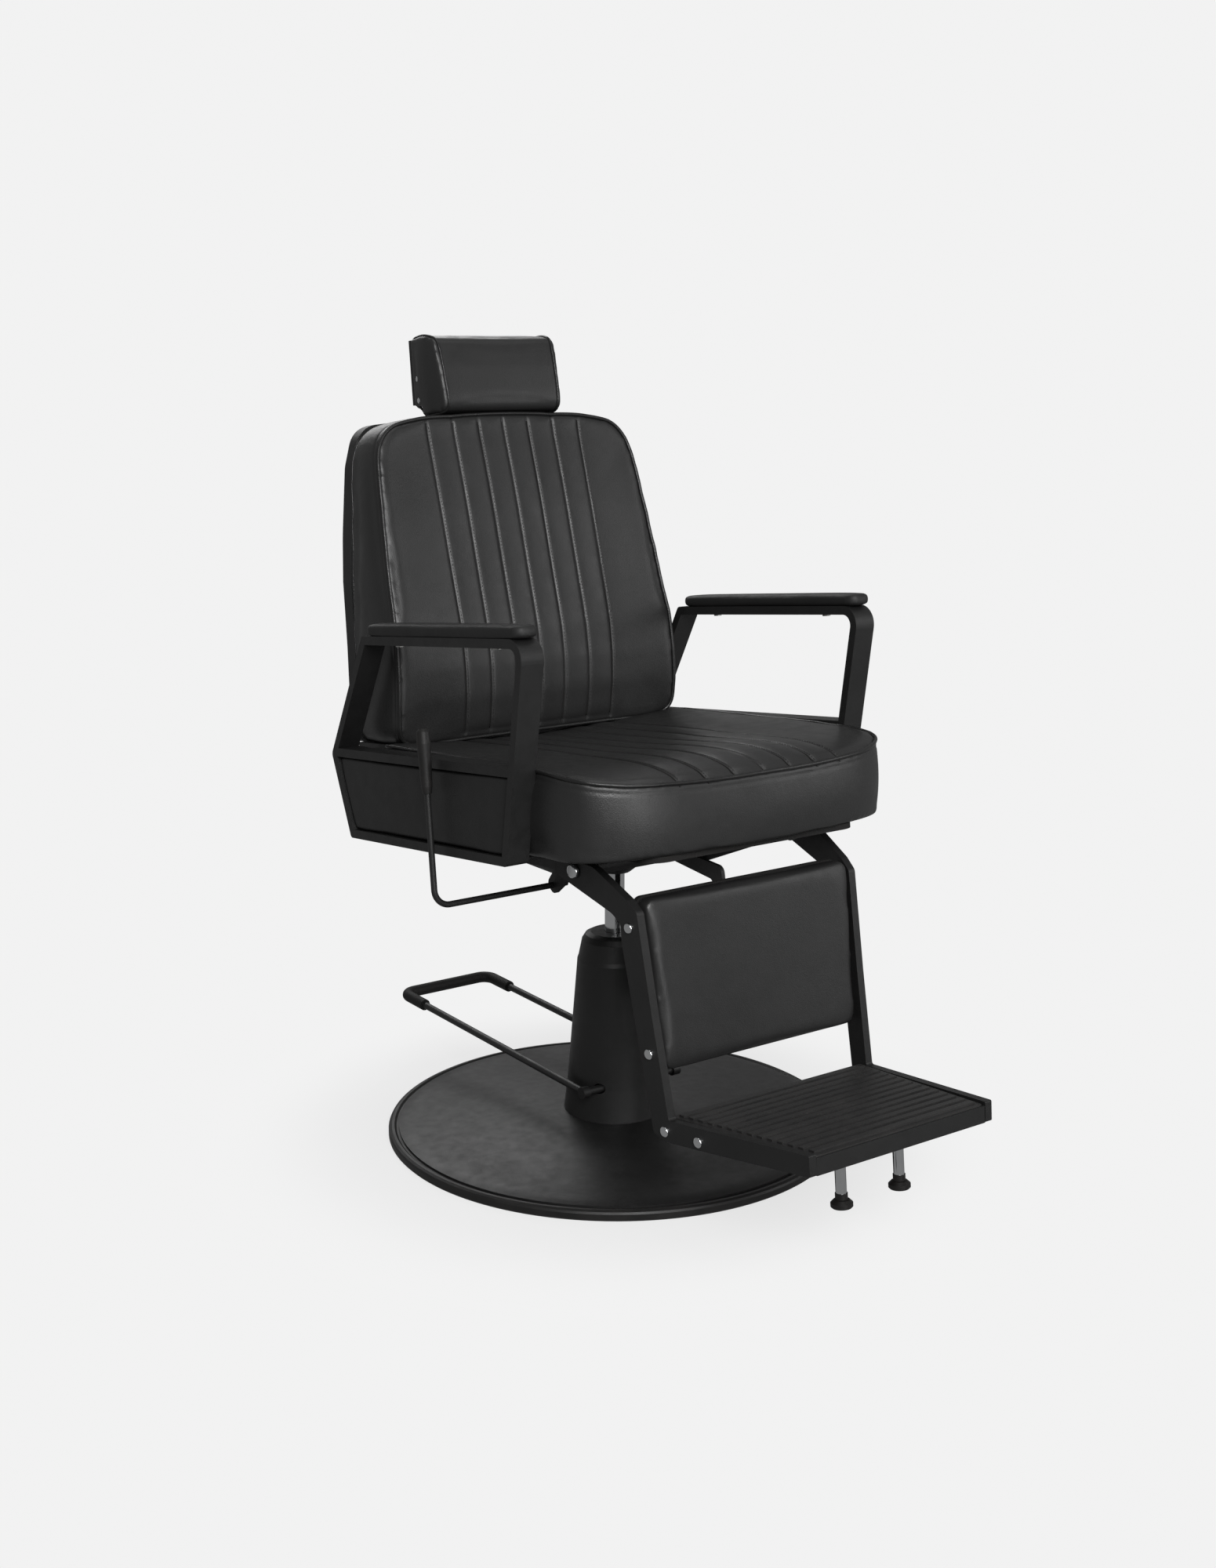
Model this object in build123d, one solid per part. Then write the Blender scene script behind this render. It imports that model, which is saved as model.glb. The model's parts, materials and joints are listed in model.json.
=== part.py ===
from build123d import *
import math
import os

# Hydraulic barber chair, in millimetres, +Z up. The origin is on the floor at the centre of the
# round base. The sitter faces -Y, and +X is the sitter's left.
# The chair above the swivel is drawn level, then leant back about the X axis at SEAT_PIVOT_Z.

# driving sizes
BASE_R = 350.0
RAM_R = 15.0
RUNNING_GAP = 0.05
SOFT_GAP = 0.3
SEAT_LEAN = 6.0
SEAT_PIVOT_Z = 456.0

# base and pedestal
RING_HEIGHT = 16.0
DISH_HUB_R = 80.0
DISH_HUB_Z = 34.0
COVER_FOOT_R = 78.0
COVER_TOP_R = 57.0
COVER_TOP_Z = 274.0
CAP_R = 50.0
CAP_TOP_Z = 317.0
SHEET = 2.0
CYLINDER_R = 33.0
PISTON_R = 27.0
CYLINDER_TOP_Z = 298.0
RAM_BOTTOM_Z = 140.0
RAM_TOP_Z = 440.0

FLANGE_ANGLES = range(0, 360, 60)
FLANGE_BOLT_R = 56.0
FLANGE_SPOTS = [
    (FLANGE_BOLT_R * math.cos(math.radians(a)), FLANGE_BOLT_R * math.sin(math.radians(a)))
    for a in FLANGE_ANGLES
]

# pump pedal
PEDAL_Y = -41.0
PEDAL_Z = 87.0
PEDAL_SHAFT_R = 6.0
PEDAL_BAR_R = 5.75
PEDAL_HALF_WIDTH = 85.5
PEDAL_LENGTH = 539.0
PEDAL_RISE = 1.2
SLEEVE_R = 9.5
SLEEVE_START = 468.0

# frame under the seat, drawn level
RAIL_IN = 180.0
RAIL_OUT = 188.0
RAIL_BOTTOM = 456.0
RAIL_TOP = 478.0
BAR_TOP = 484.0
BOARD_TOP = 492.0
LEG_AXIS = (-194.0, 465.0)
BACK_AXIS = (235.0, 490.0)
SHAFT_R = 6.0
TUBE_R = 11.0
MOUNT_SPOTS = [(60, 60), (60, -60), (-60, 60), (-60, -60)]

# recline linkage: two lever arms and the push link between them
LEG_LEVER = (134.0, -40.0)
BACK_LEVER_R = 44.26
BACK_LEVER_DEG = -25.465
GAS_LEVER_R = 32.0
GAS_LEVER_DEG = -60.0
GAS_ANCHOR = (-40.0, 430.0)
LINK_X = 109.0
LINK_THICK = 8.0
LINK_PIN_R = 4.0

# arms
ARM_IN = 277.5
ARM_OUT = 313.5
ARM_BAR = 13.0
ARM_TOP = 792.0
ARM_MID_LOW = 607.0
ARM_MID_TOP = 620.0
PAD_HALF_WIDTH = 20.0
PAD_X = 296.0
PAD_TOP = 809.0
ARM_PAD_SCREWS_Y = (-170, 90)

# cushions
SEAT_HALF_WIDTH = 275.5
SEAT_REAR = 205.0
BACK_BOTTOM = 621.0
BACK_TOP = 1113.0
BACK_SPLIT = 300.0
HEAD_HALF_WIDTH = 113.0

# release lever
LEVER_AXIS = (-17.0, 412.0)
LEVER_R = 4.5
LEVER_X = -330.0

# leg rest: outer faces of the side brackets close in towards the toes
BRACKET_X = 162.45
BRACKET_Y = -598.5
BRACKET_Z = 141.5
BRACKET_SPLAY = 0.094
BRACKET_DRAFT = 0.028
BRACKET_THICK = 12.0
BRACKET_SCREWS = ((-297, 396), (-317, 225), (-336, 121), (-400, 119))
POST_X = 52.0
POST_Y = -532.0


def lean(shape):
    """Lean a level shape back about the seat pivot."""
    to_origin = Pos(0, 0, -SEAT_PIVOT_Z)
    return Pos(0, 0, SEAT_PIVOT_Z) * Rot(X=-SEAT_LEAN) * to_origin * shape


def box(x, y, z):
    """Box between three (low, high) pairs."""
    size = Box(x[1] - x[0], y[1] - y[0], z[1] - z[0])
    return Pos((x[0] + x[1]) / 2, (y[0] + y[1]) / 2, (z[0] + z[1]) / 2) * size


def rod(radius, x, spot):
    """Round bar along X between x[0] and x[1], at spot (y, z)."""
    bar = Cylinder(radius, x[1] - x[0], rotation=(0, 90, 0))
    return Pos((x[0] + x[1]) / 2, spot[0], spot[1]) * bar


def upright(radius, z, spot=(0, 0)):
    """Round bar along Z between z[0] and z[1], at spot (x, y)."""
    return Pos(spot[0], spot[1], (z[0] + z[1]) / 2) * Cylinder(radius, z[1] - z[0])


def turned(points):
    """Solid of revolution about Z from an (r, z) outline."""
    return revolve(Plane.XZ * Polygon(*points, align=None), axis=Axis.Z)


def corner_arc(before, here, after, radius):
    """Tangent points and arc middle that round one corner of an outline."""
    spot = Vector(here[0], here[1])
    back = (Vector(before[0], before[1]) - spot).normalized()
    ahead = (Vector(after[0], after[1]) - spot).normalized()
    half = math.radians(back.get_angle(ahead)) / 2
    reach = radius / math.tan(half)
    centre = spot + (back + ahead).normalized() * (radius / math.sin(half))
    middle = centre + (spot - centre).normalized() * radius
    return spot + back * reach, middle, spot + ahead * reach


def rounded(corners):
    """Face from (u, v, radius) corners; a radius of 0 keeps the corner sharp."""
    edges = []
    runs = []
    count = len(corners)
    for index, here in enumerate(corners):
        before = corners[index - 1]
        after = corners[(index + 1) % count]
        if here[2] == 0:
            spot = Vector(here[0], here[1])
            runs.append((spot, spot))
            continue
        start, middle, end = corner_arc(before, here, after, here[2])
        edges.append(ThreePointArc(start, middle, end))
        runs.append((start, end))
    for index, run in enumerate(runs):
        following = runs[(index + 1) % count]
        edges.append(Line(run[1], following[0]))
    return make_face(edges)


def side_plate(face, x):
    """Extrude a (y, z) face between x[0] and x[1]."""
    return Pos(x[0], 0, 0) * extrude(Plane.YZ * face, amount=x[1] - x[0], dir=(1, 0, 0))


def plan_plate(face, z):
    """Extrude an (x, y) face between z[0] and z[1]."""
    return Pos(0, 0, z[0]) * extrude(face, amount=z[1] - z[0], dir=(0, 0, 1))


def front_plate(face, y):
    """Extrude an (x, z) face between y[0] and y[1]."""
    return Pos(0, y[0], 0) * extrude(Plane.XZ * face, amount=y[1] - y[0], dir=(0, 1, 0))


def mirrored(corners):
    """Close a half outline, given for x > 0 from one end to the other, about x = 0."""
    return corners + [(-u, v, r) for u, v, r in reversed(corners)]


def other_side(shape):
    """The same piece for the sitter's right."""
    return mirror(shape, about=Plane.YZ)


def turned_spot(centre, radius, degrees):
    """Point at an angle round a (y, z) centre."""
    angle = math.radians(degrees)
    return (centre[0] + radius * math.cos(angle), centre[1] + radius * math.sin(angle))


def hex_bolt(head_r, shank_r, head_z, shank_z, spot):
    """Upright hexagon bolt at spot, from the (low, high) heights of its head and its shank."""
    head = plan_plate(Pos(spot[0], spot[1]) * RegularPolygon(head_r, 6), head_z)
    return head + upright(shank_r, shank_z, spot)


# ---- base and pedestal -------------------------------------------------------------------


def base_ring():
    """Rubber-edged floor ring that the chair stands on."""
    outline = [(321, 0), (BASE_R - 3, 0), (BASE_R, 3), (BASE_R, 11), (BASE_R - 1.5, 14)]
    outline += [(BASE_R - 5, RING_HEIGHT), (BASE_R - 9, RING_HEIGHT), (BASE_R - 12, 13.5), (321, 13.5)]
    return turned(outline)


def base_dish():
    """Shallow dished steel base with a rolled edge and a raised hub."""
    top = Spline((DISH_HUB_R, DISH_HUB_Z), (200, 28.5), (300, 21), (322, 19.5), (334, 16.5))
    edge = Polyline((334, 16.5), (334, 13.7), (310, 13.7), (DISH_HUB_R, DISH_HUB_Z - 6))
    under = DISH_HUB_Z - 6
    hub = Polyline((DISH_HUB_R, under), (46, under), (46, DISH_HUB_Z), (DISH_HUB_R, DISH_HUB_Z))
    return revolve(Plane.XZ * make_face(top + edge + hub), axis=Axis.Z)


def base_plate():
    """Cast weight under the dish, with holes for the cylinder flange bolts."""
    disc = turned([(0, 2), (318, 2), (318, 9), (90, 12), (0, 12)])
    for spot in FLANGE_SPOTS:
        disc -= upright(4, (2, 12), spot)
    return disc


def flange_bolts():
    """Six bolts holding the cylinder flange to the base plate."""
    bolts = [hex_bolt(7, 4, (20, 24), (3, 20), spot) for spot in FLANGE_SPOTS]
    return Compound([bolt.solid() for bolt in bolts])


def pump_cylinder():
    """Hydraulic cylinder with its bolted flange."""
    wall = [(PISTON_R, 20), (CYLINDER_R, 20), (CYLINDER_R, CYLINDER_TOP_Z), (PISTON_R, CYLINDER_TOP_Z)]
    barrel = turned(wall)
    flange = turned([(0, 12), (68, 12), (68, 20), (0, 20)])
    for spot in FLANGE_SPOTS:
        flange -= upright(4, (12, 20), spot)
    return barrel + flange


def guide_bush():
    """Bronze bush at the top of the cylinder that guides the ram."""
    bore = RAM_R + RUNNING_GAP
    top = CYLINDER_TOP_Z
    return turned([(bore, 262), (PISTON_R, 262), (PISTON_R, top), (bore, top)])


def pedestal_cover():
    """Tapered sheet cover round the cylinder, with holes for the pedal shaft."""
    outer = [(COVER_FOOT_R, 34), (72, 85), (COVER_TOP_R, COVER_TOP_Z)]
    inner = [(COVER_TOP_R - SHEET, COVER_TOP_Z), (72 - SHEET, 85), (COVER_FOOT_R - SHEET, 34)]
    shell = turned(outer + inner)
    return shell - rod(PEDAL_SHAFT_R + 2, (-90, 90), (PEDAL_Y, PEDAL_Z))


def pedestal_cap():
    """Stepped cap closing the top of the cover round the ram."""
    bore = RAM_R + 1
    outer = [(COVER_TOP_R, COVER_TOP_Z), (55, 280), (CAP_R, 305), (45, 313), (37, CAP_TOP_Z)]
    inner = [(bore, CAP_TOP_Z), (bore, 312), (36, 312), (CAP_R - 4, 303), (51, 280), (51, COVER_TOP_Z)]
    return turned(outer + inner)


def pedal_bearings():
    """Two bearing posts that carry the pedal shaft inside the cover."""
    post = box((34, 44), (PEDAL_Y - 9, PEDAL_Y + 9), (34.5, PEDAL_Z + 10))
    post -= rod(PEDAL_SHAFT_R + RUNNING_GAP, (30, 50), (PEDAL_Y, PEDAL_Z))
    return Compound([post.solid(), other_side(post).solid()])


# ---- pump pedal --------------------------------------------------------------------------


def pedal_path(start):
    """U-shaped centre line of the pedal bar, from start to the rear crossbar, lying flat."""
    width = PEDAL_HALF_WIDTH
    corners = [(-width, start), (-width, PEDAL_LENGTH), (width, PEDAL_LENGTH), (width, start)]
    return FilletPolyline(*corners, radius=20)


def swept_bar(path, radius, bore):
    """Round bar, or a tube when bore is above 0, along a path."""
    section = Circle(radius)
    if bore > 0:
        section -= Circle(bore)
    return sweep(Plane(path @ 0, z_dir=path % 0) * section, path=path)


def place_pedal(shape):
    """Raise a flat pedal shape to its slope on the pedal shaft."""
    return Pos(0, PEDAL_Y, PEDAL_Z) * Rot(X=PEDAL_RISE) * shape


def pedal_bar():
    """Bent foot bar with a boss at each end of the shaft."""
    bar = swept_bar(pedal_path(0), PEDAL_BAR_R, 0)
    bosses = rod(9, (79, 92), (0, 0)) + rod(9, (-92, -79), (0, 0))
    return place_pedal(bar + bosses - rod(PEDAL_SHAFT_R, (-100, 100), (0, 0)))


def pedal_sleeve():
    """Rubber sleeve over the rear crossbar."""
    return place_pedal(swept_bar(pedal_path(SLEEVE_START), SLEEVE_R, PEDAL_BAR_R + 0.05))


def pedal_shaft():
    """Cross shaft of the pedal."""
    return rod(PEDAL_SHAFT_R, (-92, 92), (PEDAL_Y, PEDAL_Z))


def pedal_spring():
    """Torsion spring coiled round the pedal shaft."""
    coil = Helix(pitch=2.6, height=15, radius=9)
    wire = sweep(Plane(coil @ 0, z_dir=coil % 0) * Circle(0.9), path=coil)
    return Pos(16, PEDAL_Y, PEDAL_Z) * Rot(Y=90) * wire


# ---- lift and swivel ---------------------------------------------------------------------


def ram():
    """Chromed ram that lifts and turns the seat."""
    return upright(RAM_R, (RAM_BOTTOM_Z, RAM_TOP_Z))


def ram_piston():
    """Piston on the foot of the ram."""
    return upright(PISTON_R - RUNNING_GAP, (RAM_BOTTOM_Z - 22, RAM_BOTTOM_Z))


def swivel_socket():
    """Turned socket that sits over the ram, cut to the lean of the seat plate."""
    bore = RAM_R + RUNNING_GAP
    roof = RAM_TOP_Z + 0.5
    body = turned([(bore, 412), (24, 412), (34, 420), (34, 470), (0, 470), (0, roof), (bore, roof)])
    above = lean(box((-60, 60), (-60, 60), (SEAT_PIVOT_Z - 8, SEAT_PIVOT_Z + 60)))
    return body - above


# ---- frame under the seat ----------------------------------------------------------------


def mount_plate():
    """Plate welded to the socket and bolted under the cross members."""
    outline = [(80, -95, 12), (80, 95, 12), (-80, 95, 12), (-80, -95, 12)]
    plate = plan_plate(rounded(outline), (SEAT_PIVOT_Z - 8, RAIL_BOTTOM))
    for spot in MOUNT_SPOTS:
        plate -= upright(5, (440, 460), spot)
    return plate


def mount_bolts():
    """Four bolts holding the mount plate to the cross members."""
    bolts = [hex_bolt(8, 5, (442, 448), (448, 462), spot) for spot in MOUNT_SPOTS]
    return Compound([bolt.solid() for bolt in bolts])


def side_rail():
    """Left frame rail, with an eye for the leg rest in front and one for the back behind."""
    web_corners = [(-194, RAIL_BOTTOM, 2), (235, RAIL_BOTTOM, 2), (235, RAIL_TOP, 2), (-194, RAIL_TOP, 2)]
    web = side_plate(rounded(web_corners), (RAIL_IN, RAIL_OUT))
    front_eye = rod(14, (RAIL_IN, RAIL_OUT), LEG_AXIS)
    rear_eye = rod(18, (RAIL_IN, RAIL_OUT), BACK_AXIS)
    neck_face = Polygon((212, 458), (246, 458), (252, 490), (218, 490), align=None)
    neck = side_plate(neck_face, (RAIL_IN, RAIL_OUT))
    rail = web + front_eye + rear_eye + neck
    for spot in (LEG_AXIS, BACK_AXIS):
        rail -= rod(SHAFT_R + RUNNING_GAP, (RAIL_IN - 2, RAIL_OUT + 2), spot)
    return rail


def cross_members():
    """Two rectangular tubes between the side rails."""
    members = []
    for y in (-60, 60):
        outside = box((-RAIL_IN, RAIL_IN), (y - 15, y + 15), (RAIL_BOTTOM, RAIL_TOP))
        inside = box((-RAIL_IN, RAIL_IN), (y - 12, y + 12), (RAIL_BOTTOM + 3, RAIL_TOP - 3))
        member = outside - inside
        for spot in MOUNT_SPOTS:
            member -= upright(5, (440, 463), spot)
        members.append(member.solid())
    return Compound(members)


def arm_crossbars():
    """Two flat bars across the rails that carry both arm frames."""
    bars = [box((-293, 293), (y - 20, y + 20), (RAIL_TOP, BAR_TOP)) for y in (-120, 170)]
    return Compound([bar.solid() for bar in bars])


def seat_board():
    """Plywood board under the seat cushion."""
    outline = mirrored([(186, -340, 30), (186, -140, 0), (235, -140, 10), (235, 200, 15)])
    return plan_plate(rounded(outline), (BAR_TOP, BOARD_TOP))


def lever_bracket():
    """Triangular hanger for the release lever, with a stud for the gas spring's front eye."""
    outline = [(-76, RAIL_BOTTOM, 0), (-44, RAIL_BOTTOM, 0)]
    outline += [(-3, 414, 10), (-20, 398, 10), (-60, 424, 12)]
    plate = side_plate(rounded(outline), (-130, -124))
    plate -= rod(LEVER_R + RUNNING_GAP, (-132, -122), LEVER_AXIS)
    return plate + rod(5, (-124, -103), GAS_ANCHOR) + rod(8, (-103, -101), GAS_ANCHOR)


# ---- gas spring --------------------------------------------------------------------------


def gas_lug_spot():
    """Where the gas spring's rod meets the back."""
    return turned_spot(BACK_AXIS, GAS_LEVER_R, GAS_LEVER_DEG)


def along_gas(shape):
    """Place a shape drawn along +X from the anchor onto the gas spring's line."""
    lug = gas_lug_spot()
    rise = math.degrees(math.atan2(lug[1] - GAS_ANCHOR[1], lug[0] - GAS_ANCHOR[0]))
    return Pos(-LINK_X, GAS_ANCHOR[0], GAS_ANCHOR[1]) * Rot(X=rise) * Rot(Z=90) * shape


def gas_cylinder():
    """Locking gas spring barrel with its front eye."""
    barrel = Pos(97, 0, 0) * Cylinder(11, 166, rotation=(0, 90, 0))
    bore = Pos(100, 0, 0) * Cylinder(4 + RUNNING_GAP, 172, rotation=(0, 90, 0))
    eye = Cylinder(9.5, LINK_THICK, rotation=(90, 0, 0))
    neck = Pos(10, 0, 0) * Box(14, LINK_THICK, 9)
    hollow = barrel - bore
    return along_gas(hollow + eye + neck - Cylinder(5, 20, rotation=(90, 0, 0)))


def gas_rod():
    """Gas spring rod, with a slotted eye round its pin."""
    lug = gas_lug_spot()
    reach = math.hypot(lug[0] - GAS_ANCHOR[0], lug[1] - GAS_ANCHOR[1])
    bar = Pos((90 + reach - 8) / 2, 0, 0) * Cylinder(4, reach - 8 - 90, rotation=(0, 90, 0))
    eye = extrude(Plane.XZ * SlotCenterToCenter(6, 24, rotation=90), amount=LINK_THICK / 2, both=True)
    gap = Plane.XZ * SlotCenterToCenter(6, 2 * LINK_PIN_R + 0.9, rotation=90)
    slot = extrude(gap, amount=20, both=True)
    return along_gas(bar + Pos(reach, 0, 0) * (eye - slot))


# ---- seat and arms -----------------------------------------------------------------------


def seat_cushion():
    """Seat cushion with a rounded front."""
    half = SEAT_HALF_WIDTH
    plan = mirrored([(150, -361, 40), (half - 24, -322, 30), (half, -280, 50), (half, SEAT_REAR, 12)])
    block = plan_plate(rounded(plan), (480, 640))
    bottom = BOARD_TOP + SOFT_GAP
    profile = [(-380, bottom, 0), (SEAT_REAR, bottom, 0), (SEAT_REAR, 612, 8)]
    profile += [(-270, 612, 60), (-380, 580, 0)]
    return block & side_plate(rounded(profile), (-300, 300))


def arm_outline():
    """Side view of an arm frame."""
    front = [(-262, ARM_TOP, 28), (-185, BAR_TOP, 6)]
    return rounded(front + [(250, BAR_TOP, 6), (291.5, 611, 12), (170, ARM_TOP, 8)])


def arm_frame():
    """Left arm frame, bent and welded from flat bar with a middle rail."""
    inside = offset(arm_outline(), amount=-ARM_BAR, kind=Kind.INTERSECTION)
    middle = Pos(0, (ARM_MID_LOW + ARM_MID_TOP) / 2) * Rectangle(800, ARM_MID_TOP - ARM_MID_LOW)
    frame = side_plate(arm_outline() - (inside - middle), (ARM_IN, ARM_OUT))
    for y in ARM_PAD_SCREWS_Y:
        frame -= upright(3, (760, 800), (PAD_X, y))
    return frame


def side_panel():
    """Left upholstered panel in the lower window of the arm frame."""
    inside = offset(arm_outline(), amount=-(ARM_BAR + 1), kind=Kind.INTERSECTION)
    low = BAR_TOP + ARM_BAR + 1
    high = ARM_MID_LOW - 1
    band = Pos(0, (low + high) / 2) * Rectangle(800, high - low)
    return side_plate(inside & band, (ARM_IN + 4, ARM_OUT - 4))


def arm_pad():
    """Left armrest pad."""
    low = ARM_TOP + SOFT_GAP
    half = PAD_HALF_WIDTH
    outline = [(PAD_X - half, -252, 17), (PAD_X + half, -252, 17)]
    outline += [(PAD_X + half, 160, 17), (PAD_X - half, 160, 17)]
    pad = plan_plate(rounded(outline), (low, PAD_TOP))
    return fillet(pad.edges().group_by(Axis.Z)[-1], radius=5)


def arm_pad_screws():
    """Two screws under each arm bar that hold the pads."""
    screws = []
    for side in (-1, 1):
        for y in ARM_PAD_SCREWS_Y:
            spot = (side * PAD_X, y)
            head = upright(6, (776, 779), spot)
            screws.append((head + upright(3, (779, ARM_TOP), spot)).solid())
    return Compound(screws)


# ---- back --------------------------------------------------------------------------------


def back_outline():
    """Front view of the back, narrower and rounded at the top."""
    lower = [(260, BACK_BOTTOM, 14), (259.5, 690, 0), (253, 870, 0)]
    upper = [(235.5, 1045, 60), (218, BACK_TOP - 8, 40), (120, BACK_TOP, 0)]
    return rounded(mirrored(lower + upper))


def back_cushion():
    """Back cushion, its front face leaning gently backwards."""
    rear = BACK_SPLIT - SOFT_GAP
    profile = [(rear, BACK_BOTTOM, 0), (rear, BACK_TOP + 20, 0), (236, BACK_TOP + 20, 0), (230, 1085, 30)]
    profile += [(219, 1034, 0), (187, 870, 200), (166, 740, 200), (172, BACK_BOTTOM, 12)]
    return front_plate(back_outline(), (100, 350)) & side_plate(rounded(profile), (-300, 300))


def back_board():
    """Upholstered rear shell of the back, with a channel for the headrest bar."""
    profile = [(BACK_SPLIT, BACK_BOTTOM, 0), (321, BACK_BOTTOM, 6), (322, 770, 0), (330, 940, 300)]
    profile += [(323, BACK_TOP, 16), (BACK_SPLIT, BACK_TOP, 0)]
    board = front_plate(back_outline(), (250, 400)) & side_plate(rounded(profile), (-300, 300))
    gap = RUNNING_GAP
    return board - box((-30 - gap, 30 + gap), (310 - gap, 316 + gap), (945, 1200))


def back_carrier():
    """Welded carrier under the back: a lipped shelf and two side ears on the back's hinge axis."""
    shelf = box((-250, 250), (209, 320), (612, BACK_BOTTOM - 1))
    shelf += box((-250, 250), (209, 213), (585, 613))
    outline = [(217, 472, 16), (253, 472, 16), (318, 600, 20), (318, 613, 0), (218, 613, 0)]
    ear = side_plate(rounded(outline), (189, 197))
    ear -= rod(SHAFT_R, (180, 200), BACK_AXIS)
    return shelf + ear + other_side(ear)


def back_pivot_tube():
    """Torsion tube on the back's hinge axis with the link lug and the gas spring lug."""
    hub = rod(TUBE_R, (-176, 176), BACK_AXIS)
    link_pin = turned_spot(BACK_AXIS, BACK_LEVER_R, BACK_LEVER_DEG)
    hub += lug_plate(BACK_AXIS, link_pin, (LINK_X + 5, LINK_X + 11))
    hub += lug_plate(BACK_AXIS, gas_lug_spot(), (-LINK_X - 11, -LINK_X - 5))
    return hub - rod(SHAFT_R, (-180, 180), BACK_AXIS)


def lug_plate(start, end, x):
    """Flat lug from one (y, z) spot to another, with a pin hole at its end."""
    length = math.hypot(end[0] - start[0], end[1] - start[1])
    turn = math.degrees(math.atan2(end[1] - start[1], end[0] - start[0]))
    middle = Pos((start[0] + end[0]) / 2, (start[1] + end[1]) / 2)
    blank = middle * SlotCenterToCenter(length, 22, rotation=turn)
    return side_plate(blank, x) - rod(LINK_PIN_R, (x[0] - 2, x[1] + 2), end)


def headed_shaft(spot, x):
    """Hinge shaft with a domed head riveted on each end."""
    head = rod(11, (x, x + 6), spot)
    head = fillet(head.edges().group_by(Axis.X)[-1], radius=4)
    return rod(SHAFT_R, (-x, x), spot) + head + other_side(head)


def lug_pin(spot, side):
    """Headed pin pressed in a lug."""
    low = LINK_X - 5
    high = LINK_X + 11
    pin = rod(LINK_PIN_R, (low, high), spot) + rod(LINK_PIN_R + 3, (low - 2, low), spot)
    return pin if side > 0 else other_side(pin)


# ---- headrest ----------------------------------------------------------------------------


def headrest_bracket():
    """Flat steel bar that slides in the back, welded to the block under the headrest."""
    block = box((-74, 74), (286, 320), (1121, 1135.5))
    block = fillet(block.edges().filter_by(Axis.Z), radius=6)
    return block + box((-30, 30), (310, 316), (958, 1120))


def headrest_board():
    """Rear shell of the headrest."""
    board = box((-HEAD_HALF_WIDTH, HEAD_HALF_WIDTH), (308, 318), (1136, 1236))
    return fillet(board.edges().group_by(Axis.Y)[-1], radius=6)


def headrest_cushion():
    """Headrest cushion with a hollow front."""
    rear = 308 - SOFT_GAP
    profile = [(rear, 1136, 0), (rear, 1238, 0), (275, 1239, 0), (243, 1232, 14), (233, 1190, 0)]
    profile += [(222, 1124, 14), (284, 1122, 3), (284, 1136, 0)]
    plan = mirrored([(102, 200, 0), (HEAD_HALF_WIDTH, 262, 60), (HEAD_HALF_WIDTH, 320, 0)])
    block = side_plate(rounded(profile), (-HEAD_HALF_WIDTH, HEAD_HALF_WIDTH))
    return block & plan_plate(rounded(plan), (1100, 1260))


def headrest_studs():
    """Two dome studs on each end of the headrest."""
    studs = []
    for z in (1142, 1175):
        stud = rod(5, (HEAD_HALF_WIDTH + SOFT_GAP, HEAD_HALF_WIDTH + 3.5), (291, z))
        stud = fillet(stud.edges().group_by(Axis.X)[-1], radius=2.5)
        studs += [stud.solid(), other_side(stud).solid()]
    return Compound(studs)


# ---- leg rest ----------------------------------------------------------------------------


def bracket_face_x(y, z):
    """Distance of a bracket's outer face from the middle plane."""
    return BRACKET_X + BRACKET_SPLAY * (y - BRACKET_Y) + BRACKET_DRAFT * (z - BRACKET_Z)


def bracket_plane(y, z):
    """Plane on the outer face of the left bracket, its normal pointing out."""
    normal = (1, -BRACKET_SPLAY, -BRACKET_DRAFT)
    return Plane(origin=(bracket_face_x(y, z), y, z), x_dir=(BRACKET_SPLAY, 1, 0), z_dir=normal)


def bracket_outline():
    """Side view of a leg rest bracket: upper arm, shin and foot."""
    upper = [(-154, 482, 5), (-152, 458, 5), (-264, 413, 25), (-281, 400, 12), (-280, 372, 60)]
    foot = [(-313, 116, 8), (-334, 106.5, 20), (-412, 108, 0), (-599, 113.5, 2), (-599, 141.5, 2)]
    shin = [(-345, 137.5, 4), (-329, 275, 0), (-315, 418, 10), (-298, 434, 12), (-232, 474, 40)]
    return rounded(upper + foot + shin)


def legrest_bracket():
    """Left side bracket of the leg rest, a splayed flat plate."""
    blank = side_plate(bracket_outline(), (100, 300))
    slab = Pos(0, 0, -BRACKET_THICK / 2) * Box(2400, 2400, BRACKET_THICK)
    plate = blank & (bracket_plane(BRACKET_Y, BRACKET_Z) * slab)
    plate -= rod(SHAFT_R, (150, 260), LEG_AXIS)
    for spot in BRACKET_SCREWS:
        plate -= bracket_plane(*spot) * Cylinder(3.5, 60)
    return plate


def bracket_screws():
    """Dome head screws that hold the calf pad and the footrest to both brackets."""
    screws = []
    for spot in BRACKET_SCREWS:
        head = Pos(0, 0, 1.75) * Cylinder(7.5, 3.5)
        head = fillet(head.edges().group_by(Axis.Z)[-1], radius=2.5)
        shank = Pos(0, 0, -BRACKET_THICK / 2) * Cylinder(3.5, BRACKET_THICK)
        screw = bracket_plane(*spot) * (head + shank)
        screws += [screw.solid(), other_side(screw).solid()]
    return Compound(screws)


def legrest_pivot_tube():
    """Torsion tube on the leg rest's hinge axis with the lever that the push link works."""
    end = (LEG_AXIS[0] + LEG_LEVER[0], LEG_AXIS[1] + LEG_LEVER[1])
    hub = rod(TUBE_R, (-176, 176), LEG_AXIS)
    hub += lug_plate(LEG_AXIS, end, (LINK_X + 5, LINK_X + 11))
    return hub - rod(SHAFT_R, (-180, 180), LEG_AXIS)


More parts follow.
